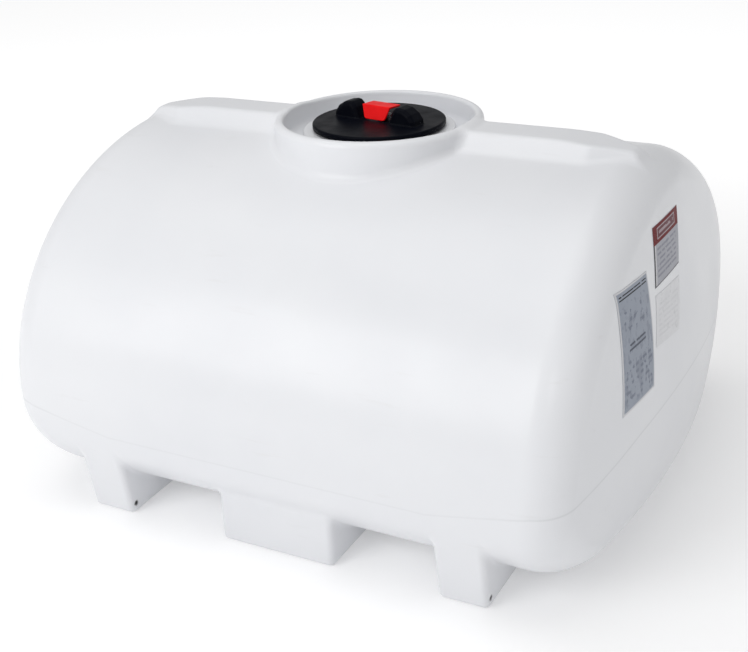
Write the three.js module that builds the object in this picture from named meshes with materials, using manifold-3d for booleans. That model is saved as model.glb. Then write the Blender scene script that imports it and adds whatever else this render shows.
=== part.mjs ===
// Fresh water tank for a food truck: a rotomoulded polyethylene tank that lies on two narrow legs
// and a wide centre block, all moulded into the shell. A collar on top surrounds a sunken fill neck,
// which a black vented lid closes. A drain fitting sits in the rear face of the centre block.
//
// Frame: millimetres, +Z up, +X along the tank towards the end that carries the labels,
// -Y towards the front. The origin is under the middle of the tank, level with the feet.

import * as THREE from 'three';
import { ParametricGeometry } from 'three/addons/geometries/ParametricGeometry.js';
import { mergeVertices } from 'three/addons/utils/BufferGeometryUtils.js';
import Module from 'manifold-3d';

const wasm = await Module();
wasm.setup();

// ---- Driving dimensions ----------------------------------------------------------------------

const WALL = 7;                   // wall of the moulded shell
const FIT = 0.3;                  // gap between pieces that touch

// Cross-section of the body: an arched top over three arcs that run under to a flat belly.
const HALF_WIDTH = 515;
const WIDEST_Z = 219;
const TOP_Z = 665;
const BELLY_Z = 28;
const TOP_POWER = 1.95;
const LOWER_ARCS = [
  { radius: 160, from: 0, to: 40, steps: 4 },
  { radius: 290, from: 40, to: 60, steps: 2 },
  { radius: 175, from: 60, to: 90, steps: 3 },
];
const TOP_STEPS = 10;
const BELLY_STEPS = 2;

// Ends of the body: a dished face, and a rounded corner that is wider along the belly.
const END_X = 617;
const DISH_RADIUS_Y = 1870;
const DISH_RADIUS_Z = 1120;
const DISH_CENTRE_Z = 260;
const CORNER_RADIUS = { belly: 80, side: 58, crown: 60 };
const CORNER_STEPS = 5;
const DISH_STEPS = 3;

// Ridge along the top, with a ramp down at each end.
const RIDGE = {
  topHalf: 40, topZ: 692, baseHalf: 75, baseZ: 654, flatEndX: 434,
  rampEndX: 520, rampEndZ: 660, tipHalf: 60, tipZ: 656,
};

// Collar round the fill neck, the well inside it and the raised neck that the lid sits over.
const COLLAR_FOOT_R = 216;
const COLLAR_FOOT_Z = 620;
const RIM_Z = 697;
const RIM_R = 188;
const RIM_ROUND = 11;
const WELL_R = 181;
const WELL_ROUND = 6;
const WELL_FLOOR_Z = 655;
const NECK_R = 146;
const NECK_Z = 673;
const NECK_BORE_R = 103;

// Legs and centre block.
const LEG_X = 370;
const LEG_WIDTH = 94;
const BLOCK_WIDTH = 236;
const FOOT_HALF_Y = 471;
const LEG_TOP_HALF_Y = 495;
const BLOCK_TOP_HALF_Y = 469;
const FOOT_SHOULDER_Z = 150;
const FOOT_BEVEL = 5;

// Hold-down sleeves through the lower corners of the legs.
const SLEEVE = { outerR: 6, innerR: 4.2, y: 460, z: 19, bossR: 17 };

// Drain fitting in the rear face of the centre block.
const DRAIN = {
  z: 56, barrelR: 17, boreR: 12.7, insideReach: 36,
  flangeR: 30, flangeThick: 7.5, gasketThick: 2.4, hubR: 21, hubLength: 8,
  nutAcross: 48, nutThick: 11,
};
const PLUG = {
  washerR: 17.7, washerThick: 2, collarR: 17.3, collarThick: 2.5, across: 27, headEnd: 11,
  shankLength: 16,
};

// Fill ring, its screws and the lid.
const RING_GASKET_THICK = 1.6;
const RING_FLANGE_THICK = 4;
const RING_R = 118;
const RING_SLEEVE_R = 102.4;
const RING_BORE_R = 98.5;
const RING_BOTTOM_Z = 648;
const SCREW = { count: 8, circleR: 111, shankR: 2.4, headR: 4.6, headHeight: 3.2, bottomZ: 667.5 };
const LID_R = 127;
const LID_TOP_Z = 687;
const LID_PLATE = 3.5;
const LID_SKIRT_Z = 677;
const LID_COLLAR_R = 97.5;
const LID_COLLAR_THICK = 6;
const LID_SKIRT_THICK = 4;
const LID_EDGE_ROUND = 3;
const LID_GASKET_WIDTH = 5;

// Grips on the lid: their turn about the lid's axis and the outline of the right one as [x, z].
const GRIP_TURN = THREE.MathUtils.degToRad(-10);
const GRIP = {
  depth: 40,
  bevel: 7,
  outline: [
    [24.5, 685], [96, 685], [93, 697], [85, 708], [71, 716], [57, 719],
    [50.5, 719], [43.5, 716], [39.5, 711],
  ],
};

// Vent that the red lever between the grips opens. The lever's outlines are [y, z] and [x, z] from
// its pin.
const LEVER_PIN = { y: 12, z: 694, radius: 2, halfLength: 35 };
const LEVER = {
  paddle: [
    [-28, -5.6], [-21, 20.5], [-18.5, 22], [15, 20], [15, 15.6], [-16, 17.4], [-22.5, -5.6],
  ],
  front: [[-22.8, -8], [22.8, -8], [33, 22.5], [-33, 22.5]],
  lugR: 5.5,
  lugWidth: 18,
  padWidth: 8,
  lugTop: 18,
  padHalf: 1,
  padLow: -2,
  springR: 4.2,
  springX: 11,
  springLength: 9,
};
const VENT = {
  y: 24, stemR: 3, holeR: 4.5, headR: 11, headThick: 2.5, tailR: 2.2, tailLength: 6,
  cageR: 16, cageFloorZ: 660, cageWall: 2.5, portWidth: 6, portHeight: 8, portRise: 9,
  sealThick: 1.6, springR: 6, springTurns: 5, springGap: 1,
};
const SPRING_WIRE_R = 0.6;

// Labels on the domed end: their four corners as [y, z], and their colour.
const LABELS = {
  label_header: { corners: [[-157, 489], [-34, 492], [12, 580], [-122, 581]], colour: 0xd9d9dc },
  label_capacity: {
    corners: [[-318, 326], [-197, 330], [-179, 528], [-297, 529]], colour: 0x9ea3a6,
  },
  label_care: { corners: [[-181, 394], [-68, 383], [-42, 472], [-159, 477]], colour: 0xdfe0e2 },
};
const LABEL_THICK = 0.4;
const LABEL_GAP = 0.5;

// ---- Materials -------------------------------------------------------------------------------

const material = (color, roughness, metalness = 0) =>
  new THREE.MeshStandardMaterial({ color, roughness, metalness });

const SHELL_WHITE = material(0xe6e7ea, 0.42);
const LID_BLACK = material(0x14161a, 0.38);
const LEVER_RED = material(0xe31b20, 0.4);
const RUBBER_BLACK = material(0x1b1b1c, 0.85);
const STEEL = material(0xb9bbbe, 0.35, 1);
const FITTING_GREY = material(0x3c3f43, 0.5);

// ---- Helpers ---------------------------------------------------------------------------------

const TAU = Math.PI * 2;
const radians = THREE.MathUtils.degToRad;

// Indices of the triangles that have three different corners.
function properTriangles(index) {
  const kept = [];
  for (let i = 0; i < index.length; i += 3) {
    const [a, b, c] = [index[i], index[i + 1], index[i + 2]];
    if (a !== b && b !== c && c !== a) kept.push(a, b, c);
  }
  return kept;
}

// Six times the signed volume that the triangles enclose.
function signedVolume(position, triangles) {
  const [a, b, c] = [new THREE.Vector3(), new THREE.Vector3(), new THREE.Vector3()];
  let sum = 0;
  for (let i = 0; i < triangles.length; i += 3) {
    a.fromBufferAttribute(position, triangles[i]);
    b.fromBufferAttribute(position, triangles[i + 1]);
    c.fromBufferAttribute(position, triangles[i + 2]);
    sum += a.dot(b.cross(c));
  }
  return sum;
}

// A closed three.js geometry as a solid that can be joined and cut.
function solid(geometry) {
  const bare = geometry.clone();
  bare.deleteAttribute('normal');
  bare.deleteAttribute('uv');
  const merged = mergeVertices(bare, 1e-3);
  const triangles = properTriangles(merged.index.array);
  if (signedVolume(merged.attributes.position, triangles) < 0) triangles.reverse();
  return new wasm.Manifold(new wasm.Mesh({
    numProp: 3,
    vertProperties: new Float32Array(merged.attributes.position.array),
    triVerts: new Uint32Array(triangles),
  }));
}

function geometryOf(manifold) {
  const mesh = manifold.getMesh();
  const geometry = new THREE.BufferGeometry();
  geometry.setAttribute('position', new THREE.BufferAttribute(mesh.vertProperties, 3));
  geometry.setIndex(new THREE.BufferAttribute(mesh.triVerts, 1));
  geometry.computeVertexNormals();
  return geometry;
}

const points = (pairs) => pairs.map(([x, y]) => new THREE.Vector2(x, y));

// A solid of revolution about Z; the profile is [radius, z] pairs.
function lathe(profile, segments) {
  const geometry = new THREE.LatheGeometry(points(profile), segments);
  return solid(geometry.rotateX(Math.PI / 2));
}

// The same for a ring that doesn't touch the axis: its profile closes on itself.
const latheRing = (profile, segments) => lathe([...profile, profile[0]], segments);

const tubeProfile = (inner, outer, low, high) => [
  [inner, low], [outer, low], [outer, high], [inner, high],
];

// Points of an arc in the plane of a profile, from one angle to another in degrees.
function arc(centreX, centreY, radius, from, to, steps) {
  return Array.from({ length: steps + 1 }, (_, i) => {
    const angle = radians(from + (to - from) * i / steps);
    return [centreX + radius * Math.cos(angle), centreY + radius * Math.sin(angle)];
  });
}

// An outline of [y, z] pairs drawn out along X, centred on x.
function alongX(outline, x, width, bevel = 0) {
  const geometry = new THREE.ExtrudeGeometry(new THREE.Shape(points(outline)), {
    depth: width - 2 * bevel,
    bevelEnabled: bevel > 0,
    bevelThickness: bevel,
    bevelSize: bevel,
    bevelOffset: -bevel,
    bevelSegments: 2,
  });
  geometry.translate(0, 0, bevel - width / 2);
  geometry.rotateX(Math.PI / 2).rotateZ(Math.PI / 2);
  return solid(geometry.translate(x, 0, 0));
}

// An outline of [x, z] pairs drawn out along Y, centred on y.
function alongY(outline, y, width, bevel = 0) {
  const geometry = new THREE.ExtrudeGeometry(new THREE.Shape(points(outline)), {
    depth: width - 2 * bevel,
    bevelEnabled: bevel > 0,
    bevelThickness: bevel,
    bevelSize: bevel,
    bevelOffset: -bevel,
    bevelSegments: 3,
  });
  geometry.translate(0, 0, bevel - width / 2);
  geometry.rotateX(Math.PI / 2);
  return solid(geometry.translate(0, y, 0));
}

function cylinderX(radius, from, to, y, z, segments = 12) {
  const geometry = new THREE.CylinderGeometry(radius, radius, to - from, segments);
  return solid(geometry.rotateZ(Math.PI / 2).translate((from + to) / 2, y, z));
}

function cylinderY(radius, from, to, x, z, segments = 24) {
  const geometry = new THREE.CylinderGeometry(radius, radius, to - from, segments);
  return solid(geometry.translate(x, (from + to) / 2, z));
}

function cylinderZ(radius, from, to, x, y, segments = 12) {
  const geometry = new THREE.CylinderGeometry(radius, radius, to - from, segments);
  return solid(geometry.rotateX(Math.PI / 2).translate(x, y, (from + to) / 2));
}

// A round wire wound about an axis along +Z of its own frame.
function coil(radius, wireR, turns, length, stepsPerTurn, sides) {
  const places = Array.from({ length: turns * stepsPerTurn + 1 }, (_, i) => {
    const angle = TAU * i / stepsPerTurn;
    const z = length * i / (turns * stepsPerTurn);
    return new THREE.Vector3(radius * Math.cos(angle), radius * Math.sin(angle), z);
  });
  const curve = new THREE.CatmullRomCurve3(places);
  const section = new THREE.Shape(points(arc(0, 0, wireR, 0, 360, sides).slice(0, -1)));
  return new THREE.ExtrudeGeometry(section, {
    steps: turns * stepsPerTurn,
    extrudePath: curve,
    bevelEnabled: false,
  });
}

const group = new THREE.Group();

function addMesh(name, geometry, finish, parent = group) {
  const mesh = new THREE.Mesh(geometry, finish);
  mesh.name = name;
  parent.add(mesh);
  return mesh;
}

const addSolid = (name, manifold, finish, parent = group) => (
  addMesh(name, geometryOf(manifold), finish, parent)
);

// ---- Shape of the body -----------------------------------------------------------------------

// The right half of the cross-section as [y, z] pairs, from the crown down to the belly's middle.
function halfSection() {
  const half = [];
  for (let i = 0; i < TOP_STEPS; i += 1) {
    const angle = Math.PI / 2 * i / TOP_STEPS;
    const y = HALF_WIDTH * Math.sin(angle) ** (2 / TOP_POWER);
    const z = WIDEST_Z + (TOP_Z - WIDEST_Z) * Math.cos(angle) ** (2 / TOP_POWER);
    half.push([y, z]);
  }
  let centre = [HALF_WIDTH - LOWER_ARCS[0].radius, WIDEST_Z];
  LOWER_ARCS.forEach(({ radius, from, to, steps }, i) => {
    const run = arc(centre[0], centre[1], radius, -from, -to, steps);
    half.push(...(i ? run.slice(1) : run));
    const next = LOWER_ARCS[i + 1];
    if (next) {
      const turn = radians(to);
      const shift = radius - next.radius;
      centre = [centre[0] + shift * Math.cos(turn), centre[1] - shift * Math.sin(turn)];
    }
  });
  const [flatY, bellyZ] = half.at(-1);
  for (let i = 1; i <= BELLY_STEPS; i += 1) half.push([flatY * (1 - i / BELLY_STEPS), bellyZ]);
  return half;
}

// The whole cross-section, closed, with an outward normal at each point.
function wholeSection() {
  const half = halfSection();
  const mirrored = half.slice(1, -1).reverse().map(([y, z]) => [-y, z]);
  const ring = [...half, ...mirrored];
  return ring.map(([y, z], i) => {
    const [beforeY, beforeZ] = ring.at(i - 1);
    const [afterY, afterZ] = ring[(i + 1) % ring.length];
    const along = new THREE.Vector2(afterY - beforeY, afterZ - beforeZ).normalize();
    return { y, z, normalY: -along.y, normalZ: along.x };
  });
}

const SECTION = wholeSection();

// How far the dished face is drawn back from END_X at [y, z].
const dishDrop = (y, z) => (
  y ** 2 / (2 * DISH_RADIUS_Y) + (z - DISH_CENTRE_Z) ** 2 / (2 * DISH_RADIUS_Z)
);

function cornerRadius(z) {
  const { belly, side, crown } = CORNER_RADIUS;
  const { smoothstep, lerp } = THREE.MathUtils;
  if (z < WIDEST_Z) return lerp(belly, side, smoothstep(z, BELLY_Z, WIDEST_Z));
  return lerp(side, crown, smoothstep(z, WIDEST_Z, TOP_Z));
}

// The rounded corner at one point of the cross-section: its radius, the angle at which it meets
// the dished face, and the x where it starts.
function cornerAt({ y, z, normalY, normalZ }, inset) {
  const radius = cornerRadius(z) - inset;
  const faceY = y - normalY * (radius + inset);
  const faceZ = z - normalZ * (radius + inset);
  const slopeY = faceY * normalY / DISH_RADIUS_Y;
  const slope = slopeY + (faceZ - DISH_CENTRE_Z) * normalZ / DISH_RADIUS_Z;
  const stop = Math.PI / 2 - Math.atan(slope);
  const inwards = inset + radius * (1 - Math.cos(stop));
  const meetX = END_X - inset - dishDrop(y - normalY * inwards, z - normalZ * inwards);
  return { radius, stop, startX: meetX - radius * Math.sin(stop) };
}

// Rings from the middle of the left end to the middle of the right end.
function bodyStations() {
  const right = [];
  for (let i = 0; i <= CORNER_STEPS; i += 1) right.push({ turn: i / CORNER_STEPS, spread: 1 });
  for (let i = 1; i <= DISH_STEPS; i += 1) right.push({ turn: 1, spread: 1 - i / DISH_STEPS });
  const left = right.toReversed().map((station) => ({ ...station, side: -1 }));
  return [...left, ...right.map((station) => ({ ...station, side: 1 }))];
}

// The body's outer surface, or with an inset the surface of the cavity inside the wall.
function bodySolid(inset) {
  const stations = bodyStations();
  const corners = SECTION.map((point) => cornerAt(point, inset));
  const place = (u, v, target) => {
    const i = Math.round(u * SECTION.length) % SECTION.length;
    const { y, z, normalY, normalZ } = SECTION[i];
    const { radius, stop, startX } = corners[i];
    const { turn, spread, side } = stations[Math.round(v * (stations.length - 1))];
    const inwards = inset + radius * (1 - Math.cos(turn * stop));
    const ringY = (y - normalY * inwards) * spread;
    const ringZ = DISH_CENTRE_Z + (z - normalZ * inwards - DISH_CENTRE_Z) * spread;
    const cornerX = startX + radius * Math.sin(turn * stop);
    const x = turn < 1 ? cornerX : END_X - inset - dishDrop(ringY, ringZ);
    target.set(side * x, ringY, ringZ);
  };
  return solid(new ParametricGeometry(place, SECTION.length, stations.length - 1));
}

// The ridge, whose flanks draw in beside the ramps; drop lowers its top and narrows it, for the
// hollow underneath.
function ridgeSolid(drop) {
  const { topHalf, topZ, baseHalf, baseZ, flatEndX, rampEndX, rampEndZ, tipHalf, tipZ } = RIDGE;
  const slope = (baseHalf - topHalf) / (topZ - baseZ);
  const lowZ = baseZ - 4 * WALL;
  const lowHalf = topHalf + slope * (topZ - lowZ) - drop;
  const across = [
    [-lowHalf, lowZ], [lowHalf, lowZ],
    [topHalf - drop / 2, topZ - drop], [drop / 2 - topHalf, topZ - drop],
  ];
  const farX = rampEndX - drop;
  const nearX = flatEndX - drop / 2;
  const lengthways = [
    [-farX, lowZ], [farX, lowZ], [farX, rampEndZ - drop], [nearX, topZ - drop],
    [-nearX, topZ - drop], [-farX, rampEndZ - drop],
  ];
  const straight = alongX(across, 0, 2 * rampEndX).intersect(alongY(lengthways, 0, 4 * baseHalf));
  const base = new THREE.Vector3(flatEndX, baseHalf, baseZ);
  const up = new THREE.Vector3(flatEndX, topHalf, topZ).sub(base);
  const out = new THREE.Vector3(rampEndX, tipHalf, tipZ).sub(base);
  const facing = up.cross(out).normalize();
  const reach = facing.dot(base) - drop;
  return [[1, 1], [1, -1], [-1, 1], [-1, -1]].reduce((rest, [sideX, sideY]) => (
    rest.trimByPlane([-sideX * facing.x, -sideY * facing.y, -facing.z], -reach)
  ), straight);
}

// A leg or the block, seen from the side: it stands on the floor and runs up into the body.
function footSolid(x, width, topHalfY, inset) {
  const shoulder = FOOT_SHOULDER_Z;
  const innerHalfY = topHalfY - shoulder / 2;
  const outline = [
    [inset - FOOT_HALF_Y, inset], [FOOT_HALF_Y - inset, inset], [topHalfY - inset, shoulder],
    [innerHalfY, shoulder + WALL * 5], [-innerHalfY, shoulder + WALL * 5], [inset - topHalfY, shoulder],
  ];
  return alongX(outline, x, width - 2 * inset, inset ? 0 : FOOT_BEVEL);
}

const LEGS = [-1, 1].map((side) => side * LEG_X);

function feet(inset) {
  const legs = LEGS.map((x) => footSolid(x, LEG_WIDTH, LEG_TOP_HALF_Y, inset));
  const block = footSolid(0, BLOCK_WIDTH, BLOCK_TOP_HALF_Y, inset);
  return legs.reduce((sum, leg) => sum.add(leg), block);
}

// ---- Shell -----------------------------------------------------------------------------------

const ROUND = 56;                       // sides of the large rings round the neck

function collarSolid() {
  const below = WELL_FLOOR_Z - 8 * WALL;
  const wallR = RIM_R + RIM_ROUND;
  const flare = COLLAR_FOOT_R - wallR;
  const foot = arc(COLLAR_FOOT_R, COLLAR_FOOT_Z + flare, flare, 270, 180, 3);
  const shoulder = arc(RIM_R, RIM_Z - RIM_ROUND, RIM_ROUND, 0, 90, 3);
  return lathe([[0, below], [COLLAR_FOOT_R, below], ...foot, ...shoulder, [0, RIM_Z]], ROUND);
}

function wellSolid() {
  const lipR = WELL_R + WELL_ROUND;
  const lip = arc(lipR, RIM_Z - WELL_ROUND, WELL_ROUND, 180, 90, 2);
  return lathe([
    [0, WELL_FLOOR_Z], [WELL_R, WELL_FLOOR_Z], ...lip, [lipR, RIM_Z + 1], [0, RIM_Z + 1],
  ], ROUND);
}

// The space above the cavity that the well's floor and the neck keep solid.
function neckMass() {
  const highZ = RIM_Z + WALL;
  const plateZ = NECK_Z - WALL - 2;
  const floorZ = WELL_FLOOR_Z - WALL;
  const outerR = WELL_R + WALL;
  return lathe([
    [0, plateZ], [NECK_R - WALL, plateZ], [NECK_R - WALL, floorZ], [outerR, floorZ],
    [outerR, highZ], [0, highZ],
  ], ROUND);
}

function screwPlaces() {
  return Array.from({ length: SCREW.count }, (_, i) => {
    const angle = TAU * (i + 0.5) / SCREW.count;
    return [SCREW.circleR * Math.cos(angle), SCREW.circleR * Math.sin(angle)];
  });
}

const screwHoles = (manifold) => screwPlaces().reduce((rest, [x, y]) => (
  rest.subtract(cylinderZ(SCREW.shankR + FIT, NECK_Z - 2 * WALL, LID_TOP_Z, x, y, 8))
), manifold);

// Where a sleeve runs through: the front and rear corner of each leg.
const SLEEVES = LEGS.flatMap((x) => [-1, 1].map((side) => ({ x, y: side * SLEEVE.y })));

function shell() {
  const neckFoot = WELL_FLOOR_Z - WALL;
  const neck = lathe([
    [0, neckFoot], [NECK_R, neckFoot], [NECK_R, NECK_Z - 2], [NECK_R - 2, NECK_Z], [0, NECK_Z],
  ], ROUND);
  const body = bodySolid(0).add(ridgeSolid(0)).add(feet(0));
  const outside = body.add(collarSolid()).subtract(wellSolid()).add(neck);
  const inside = bodySolid(WALL).add(ridgeSolid(WALL)).add(feet(WALL));
  let hollow = outside.subtract(inside.subtract(neckMass()));
  hollow = hollow.subtract(cylinderZ(NECK_BORE_R, neckFoot - 2 * WALL, NECK_Z + 1, 0, 0, ROUND));
  hollow = screwHoles(hollow);
  const reach = LEG_WIDTH / 2;
  const bossReach = reach - WALL / 2;
  SLEEVES.forEach(({ x, y }) => {
    hollow = hollow.add(cylinderX(SLEEVE.bossR, x - bossReach, x + bossReach, y, SLEEVE.z));
  });
  SLEEVES.forEach(({ x, y }) => {
    const bore = cylinderX(SLEEVE.outerR + FIT, x - reach - 1, x + reach + 1, y, SLEEVE.z);
    hollow = hollow.subtract(bore);
  });
  const drainR = DRAIN.barrelR + FIT;
  return hollow.subtract(cylinderY(drainR, FOOT_HALF_Y - 3 * WALL, FOOT_HALF_Y + WALL, 0, DRAIN.z));
}

addSolid('tank_shell', shell(), SHELL_WHITE);

// ---- Hold-down sleeves -----------------------------------------------------------------------

SLEEVES.forEach(({ x, y }) => {
  const half = LEG_WIDTH / 2;
  const body = cylinderX(SLEEVE.outerR, x - half, x + half, y, SLEEVE.z);
  const hole = cylinderX(SLEEVE.innerR, x - half - 1, x + half + 1, y, SLEEVE.z);
  const name = `leg_sleeve_${x < 0 ? 'left' : 'right'}_${y < 0 ? 'front' : 'rear'}`;
  addSolid(name, body.subtract(hole), STEEL);
});

// ---- Fill ring -------------------------------------------------------------------------------

const GASKET_LOW = NECK_Z + FIT;
const FLANGE_LOW = GASKET_LOW + RING_GASKET_THICK + FIT;
const FLANGE_HIGH = FLANGE_LOW + RING_FLANGE_THICK;
const LID_UNDER_Z = LID_TOP_Z - LID_PLATE;
const MID_ROUND = 40;

const gasketProfile = tubeProfile(
  NECK_BORE_R + 1, RING_R, GASKET_LOW, GASKET_LOW + RING_GASKET_THICK,
);
addSolid('fill_ring_gasket', screwHoles(latheRing(gasketProfile, MID_ROUND)), RUBBER_BLACK);

const ringProfile = [
  [RING_BORE_R, RING_BOTTOM_Z], [RING_SLEEVE_R, RING_BOTTOM_Z], [RING_SLEEVE_R, FLANGE_LOW],
  [RING_R, FLANGE_LOW], [RING_R, FLANGE_HIGH], [RING_BORE_R, FLANGE_HIGH],
];
addSolid('fill_ring', screwHoles(latheRing(ringProfile, MID_ROUND)), LID_BLACK);

screwPlaces().forEach(([x, y], i) => {
  const headLow = FLANGE_HIGH + FIT;
  const head = headLow + SCREW.headHeight;
  const profile = [
    [0, SCREW.bottomZ], [SCREW.shankR, SCREW.bottomZ + 1], [SCREW.shankR, headLow],
    [SCREW.headR, headLow], [SCREW.headR, head - 1], [SCREW.headR - 1, head], [0, head],
  ];
  const screw = new THREE.LatheGeometry(points(profile), 10).rotateX(Math.PI / 2);
  addMesh(`ring_screw_${i + 1}`, geometryOf(solid(screw.translate(x, y, 0))), STEEL);
});

const lidGasketProfile = tubeProfile(
  RING_BORE_R + FIT, RING_BORE_R + LID_GASKET_WIDTH, FLANGE_HIGH + FIT, LID_UNDER_Z - FIT,
);
addSolid('lid_gasket', latheRing(lidGasketProfile, MID_ROUND), RUBBER_BLACK);

// ---- Lid -------------------------------------------------------------------------------------

// Everything on the lid is laid out with the grips along X, then turned.
const lidGroup = new THREE.Group();
lidGroup.rotation.z = GRIP_TURN;
group.add(lidGroup);

function gripSolid(side) {
  return alongY(GRIP.outline.map(([x, z]) => [side * x, z]), 0, GRIP.depth, GRIP.bevel);
}

function lidSolid() {
  const edge = arc(LID_R - LID_EDGE_ROUND, LID_TOP_Z - LID_EDGE_ROUND, LID_EDGE_ROUND, 0, 90, 3);
  const skirtInner = LID_R - LID_SKIRT_THICK;
  const collarInner = LID_COLLAR_R - LID_COLLAR_THICK;
  const collarLow = RING_BOTTOM_Z + WALL;
  let lid = lathe([
    [0, LID_UNDER_Z], [collarInner, LID_UNDER_Z], [collarInner, collarLow], [LID_COLLAR_R, collarLow],
    [LID_COLLAR_R, LID_UNDER_Z], [skirtInner, LID_UNDER_Z], [skirtInner, LID_SKIRT_Z],
    [LID_R, LID_SKIRT_Z], ...edge, [0, LID_TOP_Z],
  ], ROUND);
  lid = lid.add(gripSolid(1)).add(gripSolid(-1));
  const { radius, halfLength, y, z } = LEVER_PIN;
  const reach = halfLength + 2 * FIT;
  lid = lid.subtract(cylinderX(radius + FIT, -reach, reach, y, z, 10));
  return lid.subtract(cylinderZ(VENT.holeR, LID_UNDER_Z - 1, LID_TOP_Z + 1, 0, VENT.y, 14));
}

addSolid('lid', lidSolid(), LID_BLACK, lidGroup);

// ---- Vent lever ------------------------------------------------------------------------------

// A bent paddle between the grips; its middle lug turns on the pin and its pad presses the poppet.
function leverSolid() {
  const { radius, halfLength, y, z } = LEVER_PIN;
  const { paddle, front, lugR, lugWidth, lugTop, padHalf, padLow, padWidth } = LEVER;
  const lug = [[-lugR, lugTop], ...arc(0, 0, lugR, 180, 360, 6), [lugR, lugTop]];
  const padY = VENT.y - y;
  const pad = [
    [padY - padHalf, lugTop - 1], [padY - padHalf, padLow],
    [padY + padHalf, padLow], [padY + padHalf, lugTop - 1],
  ];
  return alongX(paddle, 0, 4 * halfLength)
    .intersect(alongY(front, 0, 4 * halfLength))
    .add(alongX(lug, 0, lugWidth))
    .add(alongX(pad, 0, padWidth))
    .subtract(cylinderX(radius + FIT, -halfLength, halfLength, 0, 0, 10))
    .translate([0, y, z]);
}

addSolid('vent_lever', leverSolid(), LEVER_RED, lidGroup);

function leverPin() {
  const { radius, halfLength, y, z } = LEVER_PIN;
  return cylinderX(radius, -halfLength, halfLength, y, z, 10);
}

addSolid('lever_pin', leverPin(), STEEL, lidGroup);

const COIL_STEPS = 10;
const WIRE_SIDES = 5;
const leverSpring = coil(
  LEVER.springR, SPRING_WIRE_R, 4, LEVER.springLength, COIL_STEPS, WIRE_SIDES,
);
leverSpring.rotateY(Math.PI / 2).translate(LEVER.springX, LEVER_PIN.y, LEVER_PIN.z);
addSolid('lever_spring', solid(leverSpring), STEEL, lidGroup);

// ---- Vent under the lid ----------------------------------------------------------------------

const SEAL_HIGH = LID_UNDER_Z - FIT;
const SEAL_LOW = SEAL_HIGH - VENT.sealThick;
const POPPET_HIGH = SEAL_LOW - FIT;
const POPPET_LOW = POPPET_HIGH - VENT.headThick;
const CAGE_FLOOR_TOP = VENT.cageFloorZ + VENT.cageWall;
const CAGE_INNER_R = VENT.cageR - VENT.cageWall;

// A cup with a stem hole in its floor and six ports in its side.
function ventCage() {
  const { stemR, cageR, cageFloorZ, portWidth, portHeight, portRise } = VENT;
  const cup = latheRing([
    [stemR + 1, cageFloorZ], [cageR, cageFloorZ], [cageR, SEAL_HIGH], [CAGE_INNER_R, SEAL_HIGH],
    [CAGE_INNER_R, CAGE_FLOOR_TOP], [stemR + 1, CAGE_FLOOR_TOP],
  ], 20);
  return [0, 60, 120].reduce((rest, angle) => {
    const port = new THREE.BoxGeometry(3 * cageR, portWidth, portHeight);
    port.rotateZ(radians(angle)).translate(0, 0, cageFloorZ + portRise);
    return rest.subtract(solid(port));
  }, cup).translate([0, VENT.y, 0]);
}

addSolid('vent_cage', ventCage(), LID_BLACK, lidGroup);

const sealProfile = tubeProfile(VENT.holeR + 1.5, CAGE_INNER_R - FIT, SEAL_LOW, SEAL_HIGH);
addSolid('vent_seal', latheRing(sealProfile, 20).translate([0, VENT.y, 0]), RUBBER_BLACK, lidGroup);

function poppet() {
  const { stemR, headR, tailR, tailLength } = VENT;
  const stemTop = LEVER_PIN.z + LEVER.padLow - FIT;
  return lathe([
    [0, POPPET_LOW - tailLength], [tailR, POPPET_LOW - tailLength], [tailR, POPPET_LOW],
    [headR, POPPET_LOW], [headR, POPPET_HIGH], [stemR, POPPET_HIGH], [stemR, stemTop], [0, stemTop],
  ], 16).translate([0, VENT.y, 0]);
}

addSolid('vent_poppet', poppet(), LID_BLACK, lidGroup);

const ventSpringLow = CAGE_FLOOR_TOP + VENT.springGap;
const ventSpringLength = POPPET_LOW - VENT.springGap - ventSpringLow;
const ventSpring = coil(
  VENT.springR, SPRING_WIRE_R, VENT.springTurns, ventSpringLength, COIL_STEPS, WIRE_SIDES,
);
addSolid('vent_spring', solid(ventSpring.translate(0, VENT.y, ventSpringLow)), STEEL, lidGroup);

// ---- Drain fitting ---------------------------------------------------------------------------

const DRAIN_FACE = FOOT_HALF_Y + (BLOCK_TOP_HALF_Y - FOOT_HALF_Y) * DRAIN.z / FOOT_SHOULDER_Z;
const DRAIN_GASKET_Y = DRAIN_FACE + 2 * FIT;
const DRAIN_FLANGE_Y = DRAIN_GASKET_Y + DRAIN.gasketThick + FIT;
const DRAIN_HUB_Y = DRAIN_FLANGE_Y + DRAIN.flangeThick;
const DRAIN_OUTER_Y = DRAIN_HUB_Y + DRAIN.hubLength;
const WASHER_Y = DRAIN_OUTER_Y + FIT;
const PLUG_Y = WASHER_Y + PLUG.washerThick + FIT;
const NUT_Y = DRAIN_FACE - WALL - 2 * FIT;

const drainCylinder = (radius, from, to, segments) => (
  cylinderY(radius, from, to, 0, DRAIN.z, segments)
);

// A hole along the drain's axis through whatever it is cut from.
const drainHole = (radius) => drainCylinder(radius, 0, 2 * FOOT_HALF_Y);

// A six-sided prism on the drain's axis; across is its width over flats.
const drainHex = (across, from, to) => drainCylinder(across / Math.sqrt(3), from, to, 6);

function drainGasket() {
  const { barrelR, flangeR, gasketThick } = DRAIN;
  return drainCylinder(flangeR - 1, DRAIN_GASKET_Y, DRAIN_GASKET_Y + gasketThick, 32)
    .subtract(drainHole(barrelR + 2 * FIT));
}

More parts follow.
